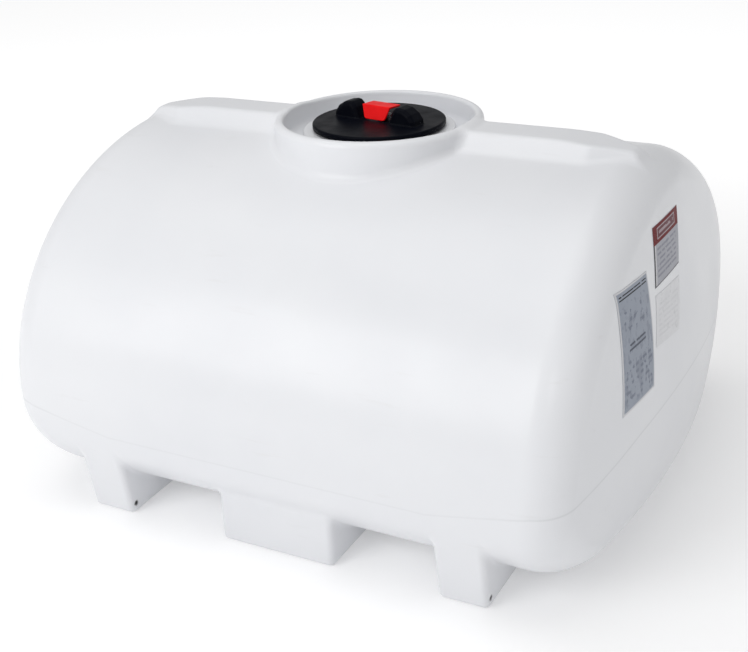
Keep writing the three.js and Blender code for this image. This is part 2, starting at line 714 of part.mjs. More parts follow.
function drainFitting() {
  const { flangeR, hubR, barrelR, insideReach, boreR } = DRAIN;
  return drainCylinder(flangeR, DRAIN_FLANGE_Y, DRAIN_HUB_Y, 32)
    .add(drainCylinder(hubR, DRAIN_HUB_Y - 1, DRAIN_OUTER_Y))
    .add(drainCylinder(barrelR, DRAIN_FLANGE_Y - insideReach, DRAIN_FLANGE_Y + 1))
    .subtract(drainHole(boreR));
}

function drainNut() {
  const { nutAcross, nutThick, barrelR } = DRAIN;
  return drainHex(nutAcross, NUT_Y - nutThick, NUT_Y).subtract(drainHole(barrelR + FIT));
}

function plugWasher() {
  return drainCylinder(PLUG.washerR, WASHER_Y, WASHER_Y + PLUG.washerThick)
    .subtract(drainHole(DRAIN.boreR - FIT));
}

function drainPlug() {
  const { collarR, collarThick, across, headEnd, shankLength } = PLUG;
  const headY = PLUG_Y + collarThick;
  return drainHex(across, headY, PLUG_Y + headEnd)
    .add(drainCylinder(collarR, PLUG_Y, headY + 2 * FIT))
    .add(drainCylinder(DRAIN.boreR - 2 * FIT, PLUG_Y - shankLength, PLUG_Y + 1));
}

addSolid('drain_gasket', drainGasket(), RUBBER_BLACK);
addSolid('drain_fitting', drainFitting(), FITTING_GREY);
addSolid('drain_nut', drainNut(), FITTING_GREY);
addSolid('plug_washer', plugWasher(), RUBBER_BLACK);
addSolid('drain_plug', drainPlug(), FITTING_GREY);

// ---- Labels ----------------------------------------------------------------------------------

// A thin skin that lies all over the body, for the labels to be cut from.
const LABEL_SKIN = bodySolid(-LABEL_GAP - LABEL_THICK).subtract(bodySolid(-LABEL_GAP));

Object.entries(LABELS).forEach(([name, { corners, colour }]) => {
  const cutter = alongX(corners, END_X, 2 * CORNER_RADIUS.side);
  addSolid(name, LABEL_SKIN.intersect(cutter), material(colour, 0.35));
});

export default group;
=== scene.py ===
"""Looks of the fresh water tank: a moulded polyethylene tank with a black vented lid.

Lengths are in metres. +X runs along the tank towards the end with the labels, -Y is the front
and +Z is up. The moulded shapes are built as signed distances and then meshed.
"""
import math

import bmesh
import bpy
import numpy as np
import openvdb
from mathutils import Matrix, Vector


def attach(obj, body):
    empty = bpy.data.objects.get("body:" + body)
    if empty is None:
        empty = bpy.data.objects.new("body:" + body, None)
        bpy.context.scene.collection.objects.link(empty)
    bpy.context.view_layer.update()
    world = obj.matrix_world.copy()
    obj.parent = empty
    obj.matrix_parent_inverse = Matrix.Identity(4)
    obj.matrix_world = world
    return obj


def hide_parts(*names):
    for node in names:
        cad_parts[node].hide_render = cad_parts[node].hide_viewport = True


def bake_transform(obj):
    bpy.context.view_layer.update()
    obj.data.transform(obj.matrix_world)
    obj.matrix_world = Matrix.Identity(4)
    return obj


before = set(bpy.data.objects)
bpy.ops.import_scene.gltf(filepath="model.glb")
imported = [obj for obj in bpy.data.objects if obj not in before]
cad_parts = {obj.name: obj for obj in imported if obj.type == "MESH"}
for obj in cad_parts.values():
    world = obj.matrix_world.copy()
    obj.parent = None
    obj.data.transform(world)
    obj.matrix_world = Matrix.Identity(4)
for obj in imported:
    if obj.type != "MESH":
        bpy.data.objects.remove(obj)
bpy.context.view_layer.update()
SCENE = bpy.context.scene

# ---- Shape of the shell ------------------------------------------------------------------------

WALL = 0.007
HALF_WIDTH = 0.515
WIDEST_Z = 0.219
TOP_Z = 0.665
BELLY_Z = 0.02797
TOP_POWER = 1.95
LOWER_ARCS = ((0.160, 40), (0.290, 60), (0.175, 90))      # radius, and the angle each runs to
END_X = 0.617
DISH_RADIUS = (1.870, 1.120)
DISH_CENTRE_Z = 0.260
CORNER_RADIUS = (0.080, 0.058, 0.060)                     # at the belly, the side and the crown
RIDGE_TOP = (0.040, 0.692)                                # half width and height
RIDGE_BASE = (0.075, 0.654)
RIDGE_FLAT_END = (0.429, 0.692)                           # x and height
RIDGE_RAMP_END = (0.505, 0.676)
RIDGE_NOSE_END = (0.525, 0.648)
RIDGE_TIP_HALF = 0.018                                    # half width at the ramp's end
RIDGE_ROOT_Z = 0.630
RIDGE_FLANK_BLEND = 0.003
RIDGE_KNEE_ROUND = 0.015
RIDGE_EDGE_ROUND = 0.006
RIDGE_FILLET = 0.008
COLLAR_R = 0.199
COLLAR_ROOT_Z = 0.560
COLLAR_ROUND = 0.012
COLLAR_FILLET = 0.014
RIM_Z = 0.697
WELL_R = 0.181
WELL_FLOOR_Z = 0.655
WELL_FOOT_ROUND = 0.010
WELL_RIM_ROUND = 0.006
NECK_R = 0.146
NECK_Z = 0.673
NECK_ROOT_Z = 0.640
NECK_ROUND = 0.003
NECK_FILLET = 0.006
BORE_R = 0.103
LEG_X = 0.370
LEG_WIDTH = 0.094
BLOCK_WIDTH = 0.236
FOOT_HALF_Y = 0.471
LEG_TOP_HALF_Y = 0.495
BLOCK_TOP_HALF_Y = 0.469
FOOT_SHOULDER_Z = 0.150
FOOT_ROOT_Z = 0.168
FOOT_SIDE_ROUND = 0.012
FOOT_SOLE_ROUND = 0.008
FOOT_ROOT_ROUND = 0.010
FOOT_FILLET = 0.009
SLEEVE_Y = 0.460
SLEEVE_Z = 0.019
SLEEVE_HOLE_R = 0.0063
SLEEVE_BOSS_R = 0.017
DRAIN_Z = 0.056
DRAIN_HOLE_R = 0.0173
SCREW_COUNT = 8
SCREW_CIRCLE_R = 0.111
SCREW_HOLE_R = 0.0027


def round_intersection(a, b, radius):
    """The overlap of two solids, with the edge between them rounded."""
    edge = np.hypot(np.maximum(radius + a, 0), np.maximum(radius + b, 0))
    return np.minimum(-radius, np.maximum(a, b)) + edge


def fillet_union(a, b, radius):
    """Two solids joined, with a fillet where they meet."""
    edge = np.hypot(np.maximum(radius - a, 0), np.maximum(radius - b, 0))
    return np.maximum(radius, np.minimum(a, b)) - edge


def soft_maximum(a, b, width):
    """The greater of two distances, eased over that width where they are nearly equal."""
    share = np.clip(0.5 + 0.5 * (a - b) / width, 0, 1)
    return a * share + b * (1 - share) + width * share * (1 - share)


def section_distance(y, z):
    """How far [y, z] is outside the body's cross-section."""
    y = np.abs(y)
    across, up = y / HALF_WIDTH, np.maximum(z - WIDEST_Z, 0) / (TOP_Z - WIDEST_Z)
    size = np.maximum((across ** TOP_POWER + up ** TOP_POWER) ** (1 / TOP_POWER), 1e-4)
    slope_y = (across / size) ** (TOP_POWER - 1) / HALF_WIDTH
    slope_z = (up / size) ** (TOP_POWER - 1) / (TOP_Z - WIDEST_Z)
    upper = (size - 1) / np.hypot(slope_y, slope_z)
    lower = BELLY_Z - z
    centres = [(HALF_WIDTH - LOWER_ARCS[0][0], WIDEST_Z)]
    for (radius, to), (following, _) in zip(LOWER_ARCS, LOWER_ARCS[1:]):
        shift, turn = radius - following, math.radians(to)
        last_y, last_z = centres[-1]
        centres.append((last_y + shift * math.cos(turn), last_z - shift * math.sin(turn)))
    for (centre_y, centre_z), (radius, to) in zip(reversed(centres), reversed(LOWER_ARCS)):
        here = np.abs(np.arctan2(centre_z - z, y - centre_y)) <= math.radians(to)
        lower = np.where(here, np.hypot(y - centre_y, z - centre_z) - radius, lower)
    return np.where(z >= WIDEST_Z, upper, lower)


def corner_radius(z):
    """How round the edge between the side and the end is at that height."""
    belly, side, crown = CORNER_RADIUS
    low = np.clip((z - BELLY_Z) / (WIDEST_Z - BELLY_Z), 0, 1)
    high = np.clip((z - WIDEST_Z) / (TOP_Z - WIDEST_Z), 0, 1)
    low, high = low * low * (3 - 2 * low), high * high * (3 - 2 * high)
    return belly + (side - belly) * low + (crown - side) * high


def body_distance(x, y, z):
    """The body without its ridge, collar and feet."""
    lean_y, lean_z = y / DISH_RADIUS[0], (z - DISH_CENTRE_Z) / DISH_RADIUS[1]
    drop = (y * lean_y + (z - DISH_CENTRE_Z) * lean_z) / 2
    end = (np.abs(x) - END_X + drop) / np.sqrt(1 + lean_y ** 2 + lean_z ** 2)
    return round_intersection(section_distance(y, z), end, corner_radius(z))


def sloped(start, stop, along, up):
    """How far [along, up] is outside the line through start and stop, which drops outwards."""
    run, fall = stop[0] - start[0], start[1] - stop[1]
    return ((along - start[0]) * fall + (up - start[1]) * run) / math.hypot(run, fall)


def tip_distance(x, y, z):
    """The plane that draws the ridge's flank in beside the ramp."""
    base = Vector((RIDGE_FLAT_END[0], *RIDGE_BASE))
    up = Vector((RIDGE_FLAT_END[0], *RIDGE_TOP)) - base
    tip = Vector((RIDGE_RAMP_END[0], RIDGE_TIP_HALF, RIDGE_RAMP_END[1]))
    facing = up.cross(tip - base).normalized()
    return np.abs(x) * facing.x + np.abs(y) * facing.y + z * facing.z - facing.dot(base)


def ridge_distance(x, y, z):
    """The ridge along the top: flat, then a ramp and a nose towards each end."""
    side = sloped(RIDGE_TOP, RIDGE_BASE, np.abs(y), z)
    side = soft_maximum(side, tip_distance(x, y, z), RIDGE_FLANK_BLEND)
    ramp = sloped(RIDGE_FLAT_END, RIDGE_RAMP_END, np.abs(x), z)
    top = round_intersection(z - RIDGE_TOP[1], ramp, RIDGE_KNEE_ROUND)
    crest = round_intersection(top, side, RIDGE_EDGE_ROUND)
    nose = sloped(RIDGE_RAMP_END, RIDGE_NOSE_END, np.abs(x), z)
    ended = round_intersection(crest, nose, RIDGE_EDGE_ROUND)
    return np.maximum(ended, RIDGE_ROOT_Z - z)


def foot_distance(x, y, z, middle, width, top_half_y):
    """A leg or the middle block, across the whole tank."""
    lean = top_half_y - FOOT_HALF_Y
    face = (np.abs(y) - FOOT_HALF_Y) * FOOT_SHOULDER_Z - z * lean
    face = face / math.hypot(FOOT_SHOULDER_Z, lean)
    post = round_intersection(face, np.abs(x - middle) - width / 2, FOOT_SIDE_ROUND)
    post = round_intersection(post, -z, FOOT_SOLE_ROUND)
    return round_intersection(post, z - FOOT_ROOT_Z, FOOT_ROOT_ROUND)


def plain_distance(x, y, z):
    """The body with its ridge and feet, before the collar and the well."""
    ridged = fillet_union(body_distance(x, y, z), ridge_distance(x, y, z), RIDGE_FILLET)
    legs = foot_distance(np.abs(x), y, z, LEG_X, LEG_WIDTH, LEG_TOP_HALF_Y)
    block = foot_distance(x, y, z, 0, BLOCK_WIDTH, BLOCK_TOP_HALF_Y)
    return fillet_union(ridged, np.minimum(legs, block), FOOT_FILLET)


def shell_distance(x, y, z):
    """The outside of the whole moulding, with its well and neck but without its holes."""
    reach = np.hypot(x, y)
    collar = round_intersection(reach - COLLAR_R, z - RIM_Z, COLLAR_ROUND)
    collar = np.maximum(collar, COLLAR_ROOT_Z - z)
    outside = fillet_union(plain_distance(x, y, z), collar, COLLAR_FILLET)
    well = round_intersection(reach - WELL_R, WELL_FLOOR_Z - z, WELL_FOOT_ROUND)
    dished = round_intersection(outside, -well, WELL_RIM_ROUND)
    neck = round_intersection(reach - NECK_R, z - NECK_Z, NECK_ROUND)
    return fillet_union(dished, np.maximum(neck, NECK_ROOT_Z - z), NECK_FILLET)


def cavity_distance(x, y, z):
    """The hollow inside the wall, with the bore of the neck and without the sleeves' bosses."""
    reach = np.hypot(x, y)
    under_well = np.maximum(reach - WELL_R - WALL, WELL_FLOOR_Z - WALL - z)
    under_neck = np.maximum(reach - NECK_R + WALL, WELL_FLOOR_Z - WALL - z)
    lid_land = np.maximum(under_neck, z - NECK_Z + WALL + 0.002)
    kept = np.maximum(under_well, -lid_land)
    hollow = np.maximum(plain_distance(x, y, z) + WALL, -kept)
    boss = np.hypot(np.abs(y) - SLEEVE_Y, z - SLEEVE_Z) - SLEEVE_BOSS_R
    return np.maximum(hollow, -boss)


# ---- From distances to meshes ------------------------------------------------------------------


def sample(distance, low, high, step, mirrored):
    """The distance on a grid. A mirrored shape is worked out for one quarter and reflected."""
    counts = [max(4, math.ceil((b - a) / step)) for a, b in zip(low, high)]
    if mirrored:
        axes = [(np.arange(math.ceil(high[i] / step)) + 0.5) * step for i in (0, 1)]
    else:
        axes = [low[i] + np.arange(counts[i]) * step for i in (0, 1)]
    axes.append(low[2] + np.arange(counts[2]) * step)
    x, y, z = np.meshgrid(*axes, indexing="ij", sparse=True)
    values = np.broadcast_to(distance(x, y, z), [len(a) for a in axes]).astype(np.float32)
    start = [a[0] for a in axes]
    if mirrored:
        values = np.concatenate([values[::-1], values], axis=0)
        values = np.concatenate([values[:, ::-1], values], axis=1)
        start[0], start[1] = -axes[0][-1], -axes[1][-1]
    return values, np.array(start)


def gradient(distance, points, step):
    """The distance's slope at each point, along X, Y and Z."""
    slopes = []
    for axis in range(3):
        ahead, behind = points.copy(), points.copy()
        ahead[:, axis] += step
        behind[:, axis] -= step
        slopes.append((distance(*ahead.T) - distance(*behind.T)) / (2 * step))
    return np.stack(slopes, axis=1)


def settle(distance, points, rounds=3):
    """Moves points onto the surface where the distance is nought."""
    for _ in range(rounds):
        slope = gradient(distance, points, 2e-4)
        size = np.maximum((slope ** 2).sum(axis=1), 0.2)
        move = np.clip(distance(*points.T) / size, -0.004, 0.004)
        points = points - slope * move[:, None]
    return points


def new_object(name, mesh):
    obj = bpy.data.objects.new(name, mesh)
    SCENE.collection.objects.link(obj)
    return obj


def read_points(mesh):
    flat = np.empty(len(mesh.vertices) * 3, dtype=np.float64)
    mesh.vertices.foreach_get("co", flat)
    return flat.reshape(-1, 3)


def write_points(mesh, points):
    mesh.vertices.foreach_set("co", points.astype(np.float32).ravel())
    mesh.update()


def bake_modifiers(obj):
    """Applies the object's modifiers to its mesh."""
    shown = obj.evaluated_get(bpy.context.evaluated_depsgraph_get())
    baked = bpy.data.meshes.new_from_object(shown)
    obj.modifiers.clear()
    obj.data = baked
    return obj


def meshed(name, distance, low, high, step, triangles, mirrored=False):
    """A mesh of a distance, thinned to about that many triangles and settled on the surface.

    Its faces are wound inwards.
    """
    values, start = sample(distance, low, high, step, mirrored)
    band = 3 * step
    grid = openvdb.FloatGrid(background=band)
    grid.copyFromArray(np.clip(values, -band, band))
    points, quads = grid.convertToQuads(isovalue=0.0)
    mesh = bpy.data.meshes.new(name)
    mesh.from_pydata((points * step + start).tolist(), [], quads[:, ::-1].tolist())
    obj = new_object(name, mesh)
    if len(quads) * 2 > triangles:
        thin = obj.modifiers.new("thin", "DECIMATE")
        thin.ratio = triangles / (len(quads) * 2)
        bake_modifiers(obj)
    write_points(obj.data, settle(distance, read_points(obj.data)))
    return obj


def cut(obj, cutter):
    """Takes the cutter's solid out of the piece and removes the cutter."""
    knife = obj.modifiers.new("cut", "BOOLEAN")
    knife.operation = "DIFFERENCE"
    knife.solver = "EXACT"
    knife.object = cutter
    bake_modifiers(obj)
    bpy.data.objects.remove(cutter)
    return obj


def shade(obj, distance=None, sharp_degrees=35):
    """Smooth shading. With a distance, normals on its surface are exact."""
    mesh = obj.data
    mesh.shade_smooth()
    if distance is None:
        mesh.set_sharp_from_angle(angle=math.radians(sharp_degrees))
        return obj
    points = read_points(mesh)
    slope = gradient(distance, points, 3e-4)
    slope /= np.maximum(np.linalg.norm(slope, axis=1, keepdims=True), 1e-9)
    on_surface = np.abs(distance(*points.T)) < 4e-5
    corners = np.empty(len(mesh.loops), dtype=np.int32)
    mesh.loops.foreach_get("vertex_index", corners)
    totals = np.empty(len(mesh.polygons), dtype=np.int32)
    mesh.polygons.foreach_get("loop_total", totals)
    faces = np.empty(len(mesh.polygons) * 3, dtype=np.float32)
    mesh.polygons.foreach_get("normal", faces)
    flat = np.repeat(faces.reshape(-1, 3), totals, axis=0)
    exact = slope[corners]
    keep = on_surface[corners] & ((exact * flat).sum(axis=1) > math.cos(math.radians(50)))
    mesh.normals_split_custom_set(np.where(keep[:, None], exact, flat).tolist())
    return obj


def turned(name, profile, sides=96, matrix=None):
    """A solid of revolution about Z from a closed profile of (radius, z) points."""
    maker = bmesh.new()
    rings = []
    for radius, z in profile:
        if radius < 1e-7:
            rings.append([maker.verts.new((0, 0, z))])
            continue
        angles = [2 * math.pi * i / sides for i in range(sides)]
        circle = [(radius * math.cos(angle), radius * math.sin(angle), z) for angle in angles]
        rings.append([maker.verts.new(point) for point in circle])
    for first, second in zip(rings, rings[1:] + rings[:1]):
        if len(first) == len(second) == 1:
            continue
        for i in range(sides):
            j = (i + 1) % sides
            corners = [first[i % len(first)], first[j % len(first)],
                       second[j % len(second)], second[i % len(second)]]
            distinct = list(dict.fromkeys(corners))
            if len(distinct) > 2:
                maker.faces.new(distinct)
    bmesh.ops.recalc_face_normals(maker, faces=maker.faces)
    if matrix is not None:
        bmesh.ops.transform(maker, matrix=matrix, verts=maker.verts)
    mesh = bpy.data.meshes.new(name)
    maker.to_mesh(mesh)
    maker.free()
    return new_object(name, mesh)


def softened(profile, radius=0.0004):
    """A profile with its corners off the axis rounded."""
    points = [Vector(point) for point in profile]
    rounded = []
    for i, here in enumerate(points):
        before, after = points[i - 1], points[(i + 1) % len(points)]
        if here.x < 1e-7:
            rounded.append(tuple(here))
            continue
        reach = min(radius, (before - here).length / 2.2, (after - here).length / 2.2)
        start = here + (before - here).normalized() * reach
        stop = here + (after - here).normalized() * reach
        for share in (0, 1 / 3, 2 / 3, 1):
            first, second = start.lerp(here, share), here.lerp(stop, share)
            rounded.append(tuple(first.lerp(second, share)))
    return rounded


def tube(inner, outer, low, high):
    """The profile of a tube or a flat ring."""
    return [(inner, low), (outer, low), (outer, high), (inner, high)]


def disc(radius, low, high):
    """The profile of a solid rod or disc."""
    return [(0, low), (radius, low), (radius, high), (0, high)]


def coil(name, radius, wire, turns, length, matrix):
    """A round wire wound about +Z, from the origin up to that length."""
    steps, sides = 30, 12
    maker = bmesh.new()
    rings = []
    for i in range(turns * steps + 1):
        angle = 2 * math.pi * i / steps
        out = Vector((math.cos(angle), math.sin(angle), 0))
        middle = out * radius + Vector((0, 0, length * i / (turns * steps)))
        ring = []
        for j in range(sides):
            round_wire = 2 * math.pi * j / sides
            offset = out * math.cos(round_wire) + Vector((0, 0, math.sin(round_wire)))
            ring.append(maker.verts.new(middle + offset * wire))
        rings.append(ring)
    for first, second in zip(rings, rings[1:]):
        for j in range(sides):
            k = (j + 1) % sides
            maker.faces.new((first[j], first[k], second[k], second[j]))
    maker.faces.new(rings[0])
    maker.faces.new(rings[-1])
    bmesh.ops.recalc_face_normals(maker, faces=maker.faces)
    bmesh.ops.transform(maker, matrix=matrix, verts=maker.verts)
    mesh = bpy.data.meshes.new(name)
    maker.to_mesh(mesh)
    maker.free()
    return new_object(name, mesh)


# ---- Materials ---------------------------------------------------------------------------------


class Finish:
    """A node material that is put together from noise, bump and a principled shader."""

    def __init__(self, name, colour, roughness, **sockets):
        self.material = bpy.data.materials.new(name)
        self.material.use_nodes = True
        self.tree = self.material.node_tree
        self.shader = self.tree.nodes["Principled BSDF"]
        self.shader.inputs["Base Color"].default_value = (*colour, 1)
        self.shader.inputs["Roughness"].default_value = roughness
        for socket, value in sockets.items():
            self.shader.inputs[socket.replace("_", " ")].default_value = value
        self.place = self.node("ShaderNodeTexCoord").outputs["Object"]
        self.relief = None

    def node(self, kind, **settings):
        made = self.tree.nodes.new(kind)
        for key, value in settings.items():
            setattr(made, key, value)
        return made

    def link(self, output, target):
        self.tree.links.new(output, target)

    def noise(self, scale, detail=3.0, stretch=(1, 1, 1)):
        """A grain from 0 to 1 in the piece's own metres, finer along the axes with more stretch."""
        squeeze = self.node("ShaderNodeMapping")
        squeeze.inputs["Scale"].default_value = stretch
        self.link(self.place, squeeze.inputs["Vector"])
        grain = self.node("ShaderNodeTexNoise")
        grain.inputs["Scale"].default_value = scale
        grain.inputs["Detail"].default_value = detail
        self.link(squeeze.outputs["Vector"], grain.inputs["Vector"])
        return grain.outputs["Fac"]

    def sum_up(self, operation, first, second=0.0):
        """One step of arithmetic on two values, each an output or a number."""
        step = self.node("ShaderNodeMath", operation=operation)
        for socket, value in zip(step.inputs, (first, second)):
            if isinstance(value, (int, float)):
                socket.default_value = value
            else:
                self.link(value, socket)
        return step.outputs["Value"]

    def between(self, value, low, high):
        """1 where the value is between low and high, else 0."""
        above = self.sum_up("GREATER_THAN", value, low)
        return self.sum_up("MULTIPLY", above, self.sum_up("LESS_THAN", value, high))

    def axes(self, vector):
        split = self.node("ShaderNodeSeparateXYZ")
        self.link(vector, split.inputs["Vector"])
        return [split.outputs[i] for i in range(3)]

    def ranged(self, value, low, high, start=0.0, stop=1.0):
        """The value's run from low to high, mapped onto start to stop and held there."""
        span = self.node("ShaderNodeMapRange")
        keys = ("From Min", "From Max", "To Min", "To Max")
        for key, number in zip(keys, (low, high, start, stop)):
            span.inputs[key].default_value = number
        self.link(value, span.inputs["Value"])
        return span.outputs["Result"]

    def mix(self, share, first, second):
        """From the first colour to the second by share, each a colour or an output."""
        blend = self.node("ShaderNodeMix", data_type="RGBA")
        self.link(share, blend.inputs["Factor"])
        for socket, colour in ((blend.inputs[6], first), (blend.inputs[7], second)):
            if isinstance(colour, tuple):
                socket.default_value = (*colour, 1)
            else:
                self.link(colour, socket)
        return blend.outputs[2]

    def paint(self, colour):
        self.link(colour, self.shader.inputs["Base Color"])
        return self

    def gloss(self, value):
        self.link(value, self.shader.inputs["Roughness"])
        return self

    def bump(self, height, strength, distance):
        """Raises the surface by height, on top of the bumps made so far."""
        raise_by = self.node("ShaderNodeBump")
        raise_by.inputs["Strength"].default_value = strength
        raise_by.inputs["Distance"].default_value = distance
        self.link(height, raise_by.inputs["Height"])
        if self.relief:
            self.link(self.relief, raise_by.inputs["Normal"])
        self.relief = raise_by.outputs["Normal"]
        self.link(self.relief, self.shader.inputs["Normal"])
        return self


def parting_line_and_shade(made):
    """Where the mould's halves met: level along the sides, arched across the ends. Its mask raises
    the seam and paints shade along its crease.
    """
    x, y, z = made.axes(made.place)
    along = made.sum_up("ABSOLUTE", x)
    rise = made.ranged(along, 0.324, 0.504, 0.190, 0.226)
    arch = made.sum_up("MULTIPLY_ADD", made.sum_up("MULTIPLY", y, y), -0.2)
    arch.node.inputs[2].default_value = 0.051
    arch = made.sum_up("MULTIPLY", arch, made.ranged(along, 0.504, 0.600))
    height = made.sum_up("SUBTRACT", z, made.sum_up("ADD", rise, arch))
    line = made.ranged(made.sum_up("ABSOLUTE", height), 0.0005, 0.0028, 1.0, 0.0)
    return made.sum_up("MULTIPLY", line, made.ranged(along, 0.42, 0.58, 0.35, 1.0))


def polyethylene():
    made = Finish("polyethylene", (0.76, 0.77, 0.79), 0.4, Specular_IOR_Level=0.38,
                  Coat_Weight=0.12, Coat_Roughness=0.14)
    cloud = made.ranged(made.noise(3.2, 4.0), 0.3, 0.7)
    scuffs = made.ranged(made.noise(26.0, 6.0, (0.35, 1, 2.6)), 0.66, 0.80, 0.0, 0.5)
    base = made.mix(cloud, (0.735, 0.745, 0.772), (0.768, 0.776, 0.798))
    line = parting_line_and_shade(made)
    worn = made.mix(scuffs, base, (0.70, 0.70, 0.71))
    # The parting line is mixed darker here: painted shade along its crease. The bump below raises
    # the seam itself.
    made.paint(made.mix(made.ranged(line, 0, 1, 0.0, 0.5), worn, (0.58, 0.59, 0.61)))
    made.bump(line, 0.35, 0.0007)
    made.gloss(made.ranged(made.noise(9.0, 5.0), 0.3, 0.7, 0.30, 0.42))
    made.bump(made.noise(7.0, 2.0), 0.25, 0.004)
    made.bump(made.noise(420.0, 2.0), 0.22, 0.0004)
    return made.material


def plastic(name, dark, light, roughness, shine, grain=900.0):
    """Moulded plastic with clouds between two colours and a fine grain."""
    made = Finish(name, dark, roughness, Specular_IOR_Level=shine)
    made.paint(made.mix(made.ranged(made.noise(45.0, 5.0), 0.35, 0.7), dark, light))
    made.gloss(made.ranged(made.noise(30.0, 6.0), 0.3, 0.7, roughness - 0.06, roughness + 0.10))
    made.bump(made.noise(grain, 2.0), 0.25, 0.00025)
    return made.material


def turned_steel():
    made = Finish("turned_steel", (0.55, 0.55, 0.56), 0.3, Metallic=1.0)
    lines = made.noise(500.0, 3.0, (1, 1, 0.08))
    cloud = made.ranged(made.noise(60.0), 0.3, 0.7)
    made.paint(made.mix(cloud, (0.48, 0.48, 0.49), (0.62, 0.62, 0.63)))
    made.gloss(made.ranged(lines, 0.3, 0.7, 0.24, 0.44))
    made.bump(lines, 0.2, 0.0002)
    return made.material


def rubber():
    made = Finish("rubber", (0.02, 0.02, 0.02), 0.8)
    made.paint(made.mix(made.noise(80.0, 4.0), (0.014, 0.014, 0.015), (0.034, 0.033, 0.033)))
    made.gloss(made.ranged(made.noise(120.0), 0.3, 0.7, 0.68, 0.9))
    made.bump(made.noise(1400.0), 0.3, 0.0002)
    return made.material


def printed(name, ground, marks):
    """Vinyl with printed areas, none of them lettering. Each mark is its left, right, low and high
    edge as shares of the label, the number of bars it is ruled into, how broken they are, and its
    colour.
    """
    made = Finish(name, ground, 0.3, Specular_IOR_Level=0.06)
    u, v, _ = made.axes(made.node("ShaderNodeTexCoord").outputs["UV"])
    cloud = made.ranged(made.noise(60.0, 4.0), 0.3, 0.7)
    colour = made.mix(cloud, ground, tuple(0.94 * channel for channel in ground))
    for left, right, low, high, bars, broken, ink in marks:
        area = made.sum_up("MULTIPLY", made.between(u, left, right), made.between(v, low, high))
        if bars:
            share = made.sum_up("FRACT", made.ranged(v, low, high, 0.0, bars))
            area = made.sum_up("MULTIPLY", area, made.between(share, 0.3, 0.75))
        if broken:
            grain = made.sum_up("GREATER_THAN", made.noise(95.0, 2.0, (1, 1, 0.5)), broken)
            area = made.sum_up("MULTIPLY", area, grain)
        colour = made.mix(area, colour, ink)
    made.paint(colour)
    made.gloss(made.ranged(made.noise(40.0, 4.0), 0.3, 0.7, 0.24, 0.40))
    made.bump(made.noise(300.0), 0.1, 0.0002)
    return made.material


SHELL_FINISH = polyethylene()
BLACK_FINISH = plastic("black_plastic", (0.0022, 0.0027, 0.0055), (0.0040, 0.0048, 0.0080),
                       0.34, 0.035)
RED_FINISH = plastic("red_plastic", (0.84, 0.003, 0.005), (0.92, 0.005, 0.007), 0.36, 0.10)
GREY_FINISH = plastic("grey_plastic", (0.040, 0.043, 0.048), (0.062, 0.066, 0.072),
                      0.45, 0.4, 1300.0)
STEEL_FINISH = turned_steel()
RUBBER_FINISH = rubber()


def dress(obj, finish):
    """Gives the piece its material."""
    obj.data.materials.clear()
    obj.data.materials.append(finish)
    return obj


def place(obj, body, *nodes):
    """The piece stands for these CAD nodes and moves with their body."""
    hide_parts(*nodes)
    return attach(obj, body)


# ---- Shell -------------------------------------------------------------------------------------

ALONG_X = Matrix.Rotation(math.pi / 2, 4, "Y")
ALONG_Y = Matrix.Rotation(-math.pi / 2, 4, "X")


def rod(radius, start, length, direction, sides=96):
    """A plain rod from start, along +Z turned by direction."""
    matrix = Matrix.Translation(start) @ direction
    return turned("rod", [(0, 0), (radius, 0), (radius, length), (0, length)], sides, matrix)


def screw_places():
    """The x and y of each screw through the fill ring."""
    angles = [math.pi * (i + 0.5) * 2 / SCREW_COUNT for i in range(SCREW_COUNT)]
    return [(SCREW_CIRCLE_R * math.cos(angle), SCREW_CIRCLE_R * math.sin(angle))
            for angle in angles]


def make_shell():
    """The shell with its bore and the holes for sleeves, drain and screws.

    It doesn't come out hollow. Both meshes are wound inwards, so taking the cavity away leaves
    the shell solid and only turns its faces outwards. The bore ends in a floor at its low end.
    """
    step, triangles = ((0.0035, 160000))
    shell = meshed("tank_shell_visual", shell_distance, (-0.64, -0.54, -0.02), (0.64, 0.54, 0.73),
                   step, triangles, mirrored=True)
    cavity = meshed("cavity", cavity_distance, (-0.62, -0.52, -0.01), (0.62, 0.52, 0.71),
                    2.5 * step, 24000, mirrored=True)
    cut(shell, cavity)
    cut(shell, rod(BORE_R, (0, 0, 0.600), 0.1, Matrix(), 160))
    for side in (-1, 1):
        for end in (-1, 1):
            start = (side * LEG_X - LEG_WIDTH / 2 - 0.005, end * SLEEVE_Y, SLEEVE_Z)
            cut(shell, rod(SLEEVE_HOLE_R, start, LEG_WIDTH + 0.01, ALONG_X, 40))
    cut(shell, rod(DRAIN_HOLE_R, (0, 0.440, DRAIN_Z), 0.05, ALONG_Y, 80))
    for x, y in screw_places():
        cut(shell, rod(SCREW_HOLE_R, (x, y, 0.659), 0.03, Matrix(), 16))
    return shade(shell, shell_distance)


shell = dress(make_shell(), SHELL_FINISH)
place(shell, "tank", "tank_shell")

# ---- Sleeves and fill ring ---------------------------------------------------------------------

# A tube's numbers are its inner and outer radius and its two ends along the axis. A profile's
# points are radius and place along the axis.
SLEEVE_BORE_R, SLEEVE_R = 0.0042, 0.0060
FILL_GASKET = (0.104, 0.118, 0.6733, 0.6749)
FILL_RING_PROFILE = ((0.0985, 0.648), (0.1024, 0.648), (0.1024, 0.6752), (0.118, 0.6752),
                     (0.118, 0.6792), (0.0985, 0.6792))
SCREW_PROFILE = ((0, 0.6675), (0.0024, 0.6685), (0.0024, 0.6795), (0.0046, 0.6795),
                 (0.0046, 0.6818), (0.0032, 0.6827), (0, 0.6827))
SCREW_SOCKET = (0.0017, 0.681, 0.684)
LID_GASKET = (0.0988, 0.1035, 0.6795, 0.6832)


def finished(obj, finish, body, node):
    """Smooths a lathed or wound piece, dresses it and puts it in its CAD node's place."""
    return place(dress(shade(obj), finish), body, node)


